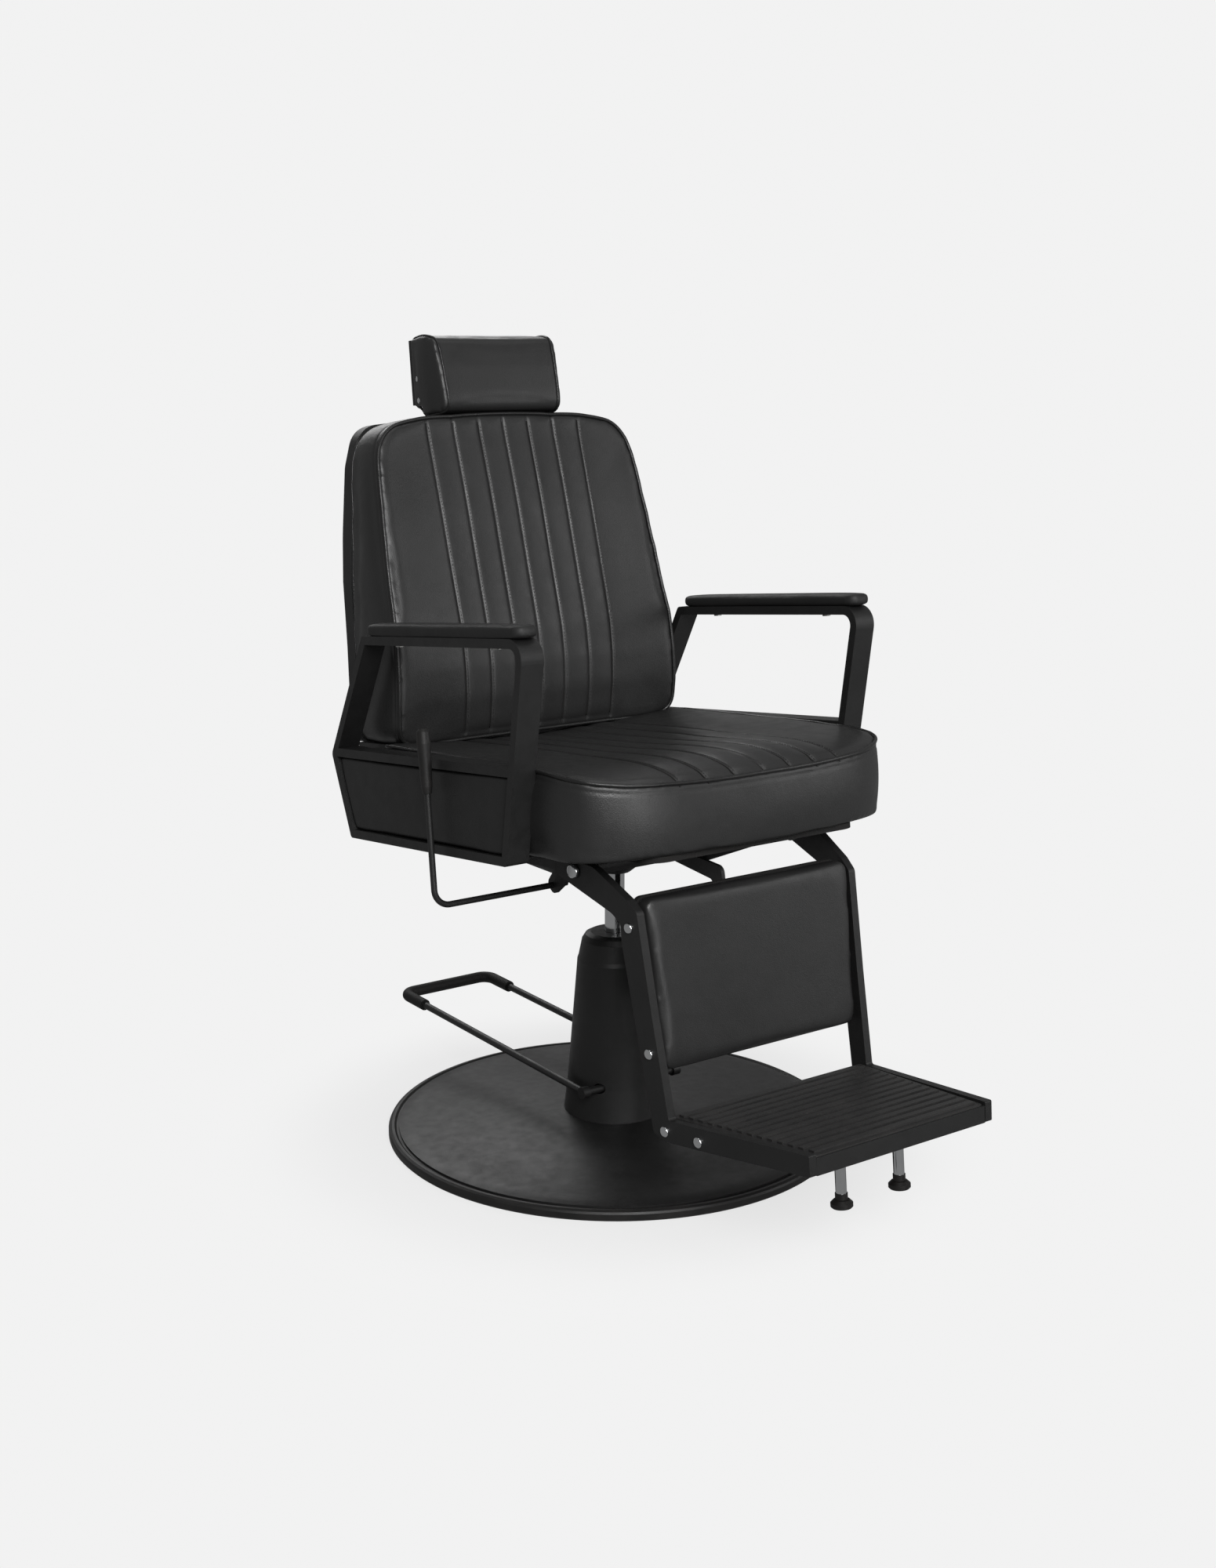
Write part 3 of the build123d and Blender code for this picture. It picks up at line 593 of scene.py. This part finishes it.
def seam_shift(along, across, low, high, seams_low, seams_high):
    """Pillow swell, 0 to 1, at each point of a channelled panel, and its distance from a seam."""
    t = np.clip((along - low) / (high - low), 0, 1)
    offset = np.abs(across)
    swell = np.zeros_like(offset)
    nearest = np.full_like(offset, 1e3)
    edges = [np.interp(t, [0, 1], [a, b]) for a, b in zip(seams_low, seams_high)]
    for edge in edges:
        nearest = np.minimum(nearest, np.abs(offset - edge))
    for inner, outer in zip(edges, edges[1:]):
        u = (offset - inner) / (outer - inner)
        inside = (u >= 0) & (u <= 1)
        swell = np.where(inside, 1 - np.abs(2 * u - 1) ** 2.5, swell)
    outside = offset > edges[-1]
    bolster = 1 - np.exp(-((offset - edges[-1]) / 16.0))
    swell = np.where(outside, bolster, swell)
    return swell, nearest


def dip(distance, depth, width):
    """Depth of a rounded groove at a distance from its middle."""
    return depth * np.exp(-((distance / width) ** 2))


def channel_shift(weight, swell, seam, near, edge_fade):
    """Outward shift (mm) of a channelled face: pillows, and grooves along the seams."""
    groove = dip(seam, *GROOVE) * np.clip(near / 6, 0, 1)
    return weight * (swell * PILLOW_RISE * edge_fade - groove - FACE_SINK * edge_fade)


def seam_ends(near_seams, far_seams):
    """Offset of each seam from the middle at its two ends, from one side to the other."""
    for index in range(-3, 4):
        sign = -1 if index < 0 else 1
        yield sign * near_seams[abs(index)], sign * far_seams[abs(index)]


# ---- seat cushion ------------------------------------------------------------------------

SEAT_PIPING = [
    (0, -363, 588), (49, -361, 587.5), (96.5, -358.5, 588), (142, -354, 589.5), (182, -346, 591),
    (212, -335.5, 593), (235, -324, 596), (252, -312, 599), (265, -297, 602.5), (273, -277, 606),
    (276, -245, 610), (276.5, -200, 613.5), (276.5, -100, 617.5), (276, 60, 621), (275, 170, 623),
    (270, 198, 623), (252, 204, 621), (140, 205, 614), (0, 205, 609),
]
SEAT_UNDERSIDE = 493.5
SEAT_FACE_LOW = 560
SEAT_FRONT_EDGE = 0.578
ABOVE_SEAT = 900


def seat_cushion():
    """Seat cushion with a rolled front, seven sewn seams and piping round its top edge."""
    loop = even(smooth_line(full_loop(SEAT_PIPING), 6, True), LOOP_PITCH, True)
    centre = Vector((0, -60, 609))
    rings = []
    for step in range(1, FACE_RINGS + 1):
        r = step / FACE_RINGS
        ring = []
        for edge in loop:
            away = Vector((edge.x - centre.x, edge.y - centre.y, 0))
            front = max(0.0, -away.normalized().y) ** 2
            power = 1.6 + 5.5 * front
            roll = 6 * front * math.sin(math.pi * min(1, r * 1.05)) * r
            z = centre.z + (edge.z - centre.z) * r**power + roll
            ring.append((centre.x + away.x * r, centre.y + away.y * r, z))
        rings.append(ring)
    for step in range(1, SIDE_RINGS + 1):
        d = step / SIDE_RINGS
        ring = []
        for edge in loop:
            away = Vector((edge.x * 0.55, edge.y + 60, 0)).normalized()
            swell = 2.5 * math.sin(math.pi * d) - 5.0 * d**3
            z = edge.z + (SEAT_UNDERSIDE - edge.z) * d
            ring.append((edge.x + away.x * swell, edge.y + away.y * swell, z))
        rings.append(ring)
    points, faces = ringed(rings, tuple(centre), (0, -60, SEAT_UNDERSIDE))
    seat = new_object("seat_cushion_cover", points, faces, LEATHER)
    stuffed(seat, 5.0, 1, 3.0)

    mesh = seat.data
    spots = coords(mesh) * PER_METRE
    face = normals(mesh)
    near = line_distance(spots, loop)
    swell, seam = seam_shift(
        spots[:, 1], spots[:, 0], -360, 200, SEAT_SEAMS_FRONT, SEAT_SEAMS_REAR
    )
    high = spots[:, 2] > SEAT_FACE_LOW
    top = np.clip((face[:, 2] - 0.25) / 0.3, 0, 1) * high
    edge_fade = np.clip((near - 2) / 12.0, 0, 1)
    shift = channel_shift(top, swell, seam, near, edge_fade)
    shift -= dip(near, *CORD_TUCK)
    shift -= dip(near - CORD_TO_SIDE_SEAM, 0.8, SIDE_SEAM_WIDTH) * (face[:, 2] < 0.6) * high
    set_coords(mesh, (spots + face * shift[:, None]) * MM)

    skin = surface_of(seat)
    piping = average_line(settle(even(loop, CORD_PITCH, True), skin, CORD_LIFT), 3, True)
    cord = tube("seat_piping", piping, CORD_RADIUS, PIPING, True)
    rows = [
        seam_row(skin, front + STITCH_OFFSET, rear + STITCH_OFFSET, -352, 196, "seat")
        for front, rear in seam_ends(SEAT_SEAMS_FRONT, SEAT_SEAMS_REAR)
    ]
    thread = stitches("seat_stitching", rows, THREAD)
    # painted shade: near-black tubes along the bottoms of the seat's seam grooves
    shade_lines = seam_shade_lines("seat_seams", skin, SEAT_SEAMS_FRONT, SEAT_SEAMS_REAR, -358, 200, "seat")
    mount(shade_lines, "seat")
    mount(seat, "seat", ("seat_cushion",))
    mount(cord, "seat")
    mount(thread, "seat")


def line_distance(spots, line):
    """Distance of each spot from a closed line, in millimetres."""
    ends = np.array([tuple(point) for point in line])
    spans = np.roll(ends, -1, axis=0) - ends
    square = (spans**2).sum(axis=1)
    best = np.full(len(spots), 1e9)
    for end, span, size in zip(ends, spans, square):
        away = spots - end
        t = np.clip(away @ span / size, 0, 1)
        gap = away - t[:, None] * span
        best = np.minimum(best, np.einsum("ij,ij->i", gap, gap))
    return np.sqrt(best)


def seam_row(skin, start, end, low, high, kind):
    """Stitch line on a panel's surface, as (spot, normal) pairs."""
    row = []
    steps = int((high - low) / 0.6)
    for step in range(steps + 1):
        t = step / steps
        x = start + (end - start) * t
        along = low + (high - low) * t
        if kind == "seat":
            origin, ray = Vector((x, along, ABOVE_SEAT)), Vector((0, 0, -1))
        else:
            origin, ray = Vector((x, BEFORE_BACK, along)), Vector((0, 1, 0))
        spot, normal, _, _ = skin.ray_cast(origin * MM, ray)
        # rays that pass the face's edge land on the side or the front instead
        if kind == "seat":
            missed = spot is None or spot.z < SEAT_FRONT_EDGE
        else:
            missed = spot is None or spot.y > BACK_FACE_EDGE
        if not missed:
            row.append((spot / MM + normal * 0.1, normal))
    return row


def seam_shade_lines(name, skin, near_seams, far_seams, low, high, kind):
    """Painted shade in each sewn seam: a near-black tube laid along the bottom of its groove."""
    shade_lines = []
    for index, (start, end) in enumerate(seam_ends(near_seams, far_seams)):
        row = seam_row(skin, start, end, low, high, kind)
        line = average_line([spot + normal * 0.1 for spot, normal in row[::4]], 2, False)
        shade_lines.append(tube(f"{name}_{index}", line, SEAM_SHADE_RADIUS, SEAM_SHADE, sides=6))
    return joined(name, shade_lines)


def joined(name, objects):
    """Join objects into one mesh object."""
    with bpy.context.temp_override(active_object=objects[0], selected_editable_objects=objects):
        bpy.ops.object.join()
    objects[0].name = name
    return objects[0]


# ---- back cushion ------------------------------------------------------------------------

BACK_PIPING = [
    (0, 186, 619), (150, 185, 619), (228, 183, 620), (250, 180, 627), (258, 174, 643),
    (259.5, 167, 684), (258.5, 164.5, 731), (257, 167, 777), (255, 173, 812), (252, 185, 870),
    (245, 202, 964), (238.5, 216, 1034), (232.5, 223, 1064), (223, 226, 1084), (208, 228, 1097),
    (188, 230, 1104.5), (142, 233, 1111.5), (70, 236, 1115), (0, 237, 1116),
]
BACK_FACE = (
    (615, 187), (625, 183), (645, 175), (684, 168), (731, 165.5), (777, 168), (812, 174),
    (870, 185), (964, 202), (1034, 216), (1064, 222), (1095, 229), (1118, 237),
)
BACK_REAR = 299.7
BACK_FACE_EDGE = 0.245
BEFORE_BACK = -100
BACK_DISH = 5


def back_cushion():
    """Back cushion with seven sewn seams, piping round its face and a boxed side."""
    loop = even(smooth_line(full_loop(BACK_PIPING), 6, True), LOOP_PITCH, True)
    centre = Vector((0, 0, 860))
    rings = []
    for step in range(1, FACE_RINGS + 1):
        r = step / FACE_RINGS
        ring = []
        for edge in loop:
            x = edge.x * r
            z = centre.z + (edge.z - centre.z) * r
            dish = BACK_DISH * (1 - r**3)
            y = interpolate(z, BACK_FACE) * (1 - r**6) + edge.y * r**6 + dish
            ring.append((x, y, z))
        rings.append(ring)
    for step in range(1, SIDE_RINGS + 1):
        d = step / SIDE_RINGS
        ring = []
        for edge in loop:
            away = Vector((edge.x, 0, edge.z - centre.z)).normalized()
            swell = 2.6 * math.sin(math.pi * d)
            y = edge.y + (BACK_REAR - edge.y) * d
            ring.append((edge.x + away.x * swell, y, edge.z + away.z * swell))
        rings.append(ring)
    start = (0, interpolate(centre.z, BACK_FACE) + BACK_DISH, centre.z)
    points, faces = ringed(rings, start, (0, BACK_REAR, centre.z))
    faces = [tuple(reversed(face)) for face in faces]
    back = new_object("back_cushion_cover", points, faces, LEATHER)
    stuffed(back, 5.0, 1, 3.0)

    mesh = back.data
    spots = coords(mesh) * PER_METRE
    face = normals(mesh)
    near = line_distance(spots, loop)
    swell, seam = seam_shift(
        spots[:, 2], spots[:, 0], 690, 1105, BACK_SEAMS_LOW, BACK_SEAMS_HIGH
    )
    front = np.clip((-face[:, 1] - 0.35) / 0.3, 0, 1)
    edge_fade = np.clip((near - 2) / 14.0, 0, 1)
    shift = channel_shift(front, swell, seam, near, edge_fade)
    shift -= dip(near, *CORD_TUCK)
    shift -= dip(near - CORD_TO_SIDE_SEAM, 1.0, SIDE_SEAM_WIDTH) * (-face[:, 1] < 0.6)
    moved = spots + face * shift[:, None]
    moved[:, 1] = np.minimum(moved[:, 1], BACK_REAR)
    set_coords(mesh, moved * MM)

    skin = surface_of(back)
    piping = average_line(settle(even(loop, CORD_PITCH, True), skin, CORD_LIFT), 3, True)
    cord = tube("back_piping", piping, CORD_RADIUS, PIPING, True)
    rows = [
        seam_row(skin, low + STITCH_OFFSET, high + STITCH_OFFSET, 640, 1098, "back")
        for low, high in seam_ends(BACK_SEAMS_LOW, BACK_SEAMS_HIGH)
    ]
    thread = stitches("back_stitching", rows, THREAD)
    # painted shade: near-black tubes along the bottoms of the back's seam grooves
    shade_lines = seam_shade_lines("back_seams", skin, BACK_SEAMS_LOW, BACK_SEAMS_HIGH, 632, 1104, "back")
    rear_line = [Vector((p.x * 1.004, BACK_REAR + 0.2, p.z)) for p in even(loop, CORD_PITCH, True)]
    rear_line = average_line(settle(rear_line, skin, 0.6), 2, True)
    welt = tube("back_rear_welt", rear_line, 2.2, PIPING, True)
    mount(back, "back", ("back_cushion",))
    for piece in (cord, thread, shade_lines, welt):
        mount(piece, "back")


# ---- smaller pads ------------------------------------------------------------------------


def level_copy(name, node, material):
    """Copy of a CAD node's shape in the level frame."""
    mesh = frame["nodes"][node].data.copy()
    mesh.name = name
    mesh.transform(LEVEL.inverted())
    mesh.materials.clear()
    mesh.materials.append(material)
    obj = bpy.data.objects.new(name, mesh)
    bpy.context.scene.collection.objects.link(obj)
    return obj


HEAD_TOP = 1.239
HEAD_DEPTHS = (222, 262)
HEAD_HALF_WIDTHS = (101, 110)
HEAD_WIDEN = 1.02
HEAD_DEEPEN = 1.03
HEAD_PROFILE = [
    (299, 1130), (306, 1150), (306, 1220), (300, 1237), (275, 1239), (250, 1236), (240, 1226),
    (235, 1205), (230, 1165), (225, 1136), (224, 1125), (232, 1118.5), (258, 1118), (285, 1118),
]


def headrest():
    """Headrest cushion with piped end caps."""
    pad = level_copy("headrest_cover", "headrest_cushion", LEATHER)
    stuffed(pad, 3.5, 2, 2.5)
    points = coords(pad.data)
    points[:, 0] *= HEAD_WIDEN
    points[:, 2] = HEAD_TOP + (points[:, 2] - HEAD_TOP) * HEAD_DEEPEN
    set_coords(pad.data, points)
    skin = surface_of(pad)
    pieces = []
    for side, label in ((-1, "right"), (1, "left")):
        profile = [
            (side * float(np.interp(y, HEAD_DEPTHS, HEAD_HALF_WIDTHS)), y, z)
            for y, z in HEAD_PROFILE
        ]
        loop = even(smooth_line(profile, 5, True), 4, True)
        piping = average_line(settle(loop, skin, 0.9), 3, True)
        pieces.append(tube(f"headrest_piping_{label}", piping, 2.0, PIPING, True))
    mount(pad, "headrest", ("headrest_cushion",))
    for piece in pieces:
        mount(piece, "headrest")


def calf_pad():
    """Plain calf pad, plump at its edges."""
    pad = level_copy("calf_pad_cover", "calf_pad", LEATHER)
    stuffed(pad, 4.0, 6, 5.0)
    mount(pad, "leg_rest", ("calf_pad",))


def arm_pads():
    """Plain armrest pads with rounded edges."""
    for label in ("left", "right"):
        pad = level_copy(f"arm_pad_{label}_cover", f"arm_pad_{label}", PAD_SKIN)
        stuffed(pad, 3.0, 5, 1.5)
        mount(pad, "seat", (f"arm_pad_{label}",))


def side_panels():
    """Upholstered panels in the lower windows of the arms."""
    for label in ("left", "right"):
        pad = level_copy(f"side_panel_{label}_cover", f"side_panel_{label}", BACK_LEATHER)
        stuffed(pad, 4.0, 3, 2.5)
        mount(pad, "seat", (f"side_panel_{label}",))


# ---- stage -------------------------------------------------------------------------------

# name, place, aim, size and power of each light
LIGHTS = (
    ("key", (-1.7, -3.2, 2.5), (0, 0, 0.9), (1.8, 1.6), 125),
    ("front", (-0.3, -3.7, 0.9), (0, 0, 0.8), (1.3, 1.7), 24),
    ("fill", (2.8, -2.6, 1.6), (0, 0, 0.6), (1.6, 2.2), 24),
    ("top", (0.2, -0.2, 3.8), (0, 0, 0.6), (1.8, 1.8), 16),
    ("rear", (0.8, 3.2, 2.6), (0, 0, 0.7), (2.4, 1.6), 31),
)
WORLD_STRENGTH = 0.24
CAMERA_PLACE = (-1.7136, -2.3342, 1.1798)
CAMERA_TILT = math.radians(78.18)
CAMERA_TURN = math.radians(-35.70)
CAMERA_LENS = 45.24


def area_light(name, spot, target, size, power):
    data = bpy.data.lights.new(name, "AREA")
    data.shape = "RECTANGLE"
    data.size, data.size_y = size
    data.energy = power
    light = bpy.data.objects.new(name, data)
    light.location = spot
    light.rotation_euler = (Vector(target) - Vector(spot)).to_track_quat("-Z", "Y").to_euler()
    bpy.context.scene.collection.objects.link(light)


def backdrop_finish():
    """Even pale backdrop."""
    material = bpy.data.materials.new("backdrop")
    material.use_nodes = True
    tree = material.node_tree
    tree.nodes.clear()
    glow = tree.nodes.new("ShaderNodeEmission")
    glow.inputs["Color"].default_value = (PAPER, PAPER, PAPER, 1)
    output = tree.nodes.new("ShaderNodeOutputMaterial")
    tree.links.new(glow.outputs[0], output.inputs["Surface"])
    return material


def floor_finish():
    """Pale floor that takes a faint contact shadow near the chair and fades into the backdrop."""
    material = backdrop_finish()
    material.name = "floor"
    tree = material.node_tree
    glow = next(node for node in tree.nodes if node.type == "EMISSION")
    output = next(node for node in tree.nodes if node.type == "OUTPUT_MATERIAL")
    matt = tree.nodes.new("ShaderNodeBsdfDiffuse")
    matt.inputs["Color"].default_value = (0.8, 0.8, 0.8, 1)
    place = tree.nodes.new("ShaderNodeTexCoord")
    reach = tree.nodes.new("ShaderNodeVectorMath")
    reach.operation = "LENGTH"
    fade = tree.nodes.new("ShaderNodeMapRange")
    fade.interpolation_type = "SMOOTHERSTEP"
    fade.inputs["From Min"].default_value = 0.34
    fade.inputs["From Max"].default_value = 0.62
    fade.inputs["To Min"].default_value = 0.82
    fade.inputs["To Max"].default_value = 1.0
    mix = tree.nodes.new("ShaderNodeMixShader")
    tree.links.new(place.outputs["Object"], reach.inputs[0])
    tree.links.new(reach.outputs["Value"], fade.inputs["Value"])
    tree.links.new(fade.outputs["Result"], mix.inputs["Fac"])
    tree.links.new(matt.outputs[0], mix.inputs[1])
    tree.links.new(glow.outputs[0], mix.inputs[2])
    tree.links.new(mix.outputs[0], output.inputs["Surface"])
    return material


def studio():
    """Pale floor and backdrop, soft lights and the camera."""
    scene = bpy.context.scene
    scene.view_settings.view_transform = "Standard"
    world = bpy.data.worlds.new("studio")
    world.use_nodes = True
    world.node_tree.nodes["Background"].inputs["Color"].default_value = (0.9, 0.9, 0.9, 1)
    world.node_tree.nodes["Background"].inputs["Strength"].default_value = WORLD_STRENGTH
    scene.world = world

    bpy.ops.mesh.primitive_circle_add(vertices=96, radius=40, fill_type="NGON", location=(0, 0, 0))
    floor = bpy.context.object
    floor.name = "floor"
    floor.data.materials.append(floor_finish())
    bpy.ops.mesh.primitive_uv_sphere_add(segments=64, ring_count=32, radius=39, location=(0, 0, 0))
    dome = bpy.context.object
    dome.name = "backdrop"
    dome.data.materials.append(backdrop_finish())
    dome.visible_diffuse = False
    dome.visible_glossy = False
    dome.visible_transmission = False
    dome.visible_shadow = False
    floor.visible_diffuse = False
    floor.visible_glossy = False

    for light in LIGHTS:
        area_light(*light)

    data = bpy.data.cameras.new("camera")
    data.sensor_width = 36
    data.lens = CAMERA_LENS
    data.shift_x = 0.0081
    data.shift_y = -0.0116
    data.clip_start = 0.05
    data.clip_end = 200
    camera = bpy.data.objects.new("camera", data)
    camera.location = CAMERA_PLACE
    camera.rotation_euler = (CAMERA_TILT, 0, CAMERA_TURN)
    scene.collection.objects.link(camera)
    scene.camera = camera


finish_cad()
seat_cushion()
back_cushion()
headrest()
calf_pad()
arm_pads()
side_panels()
studio()
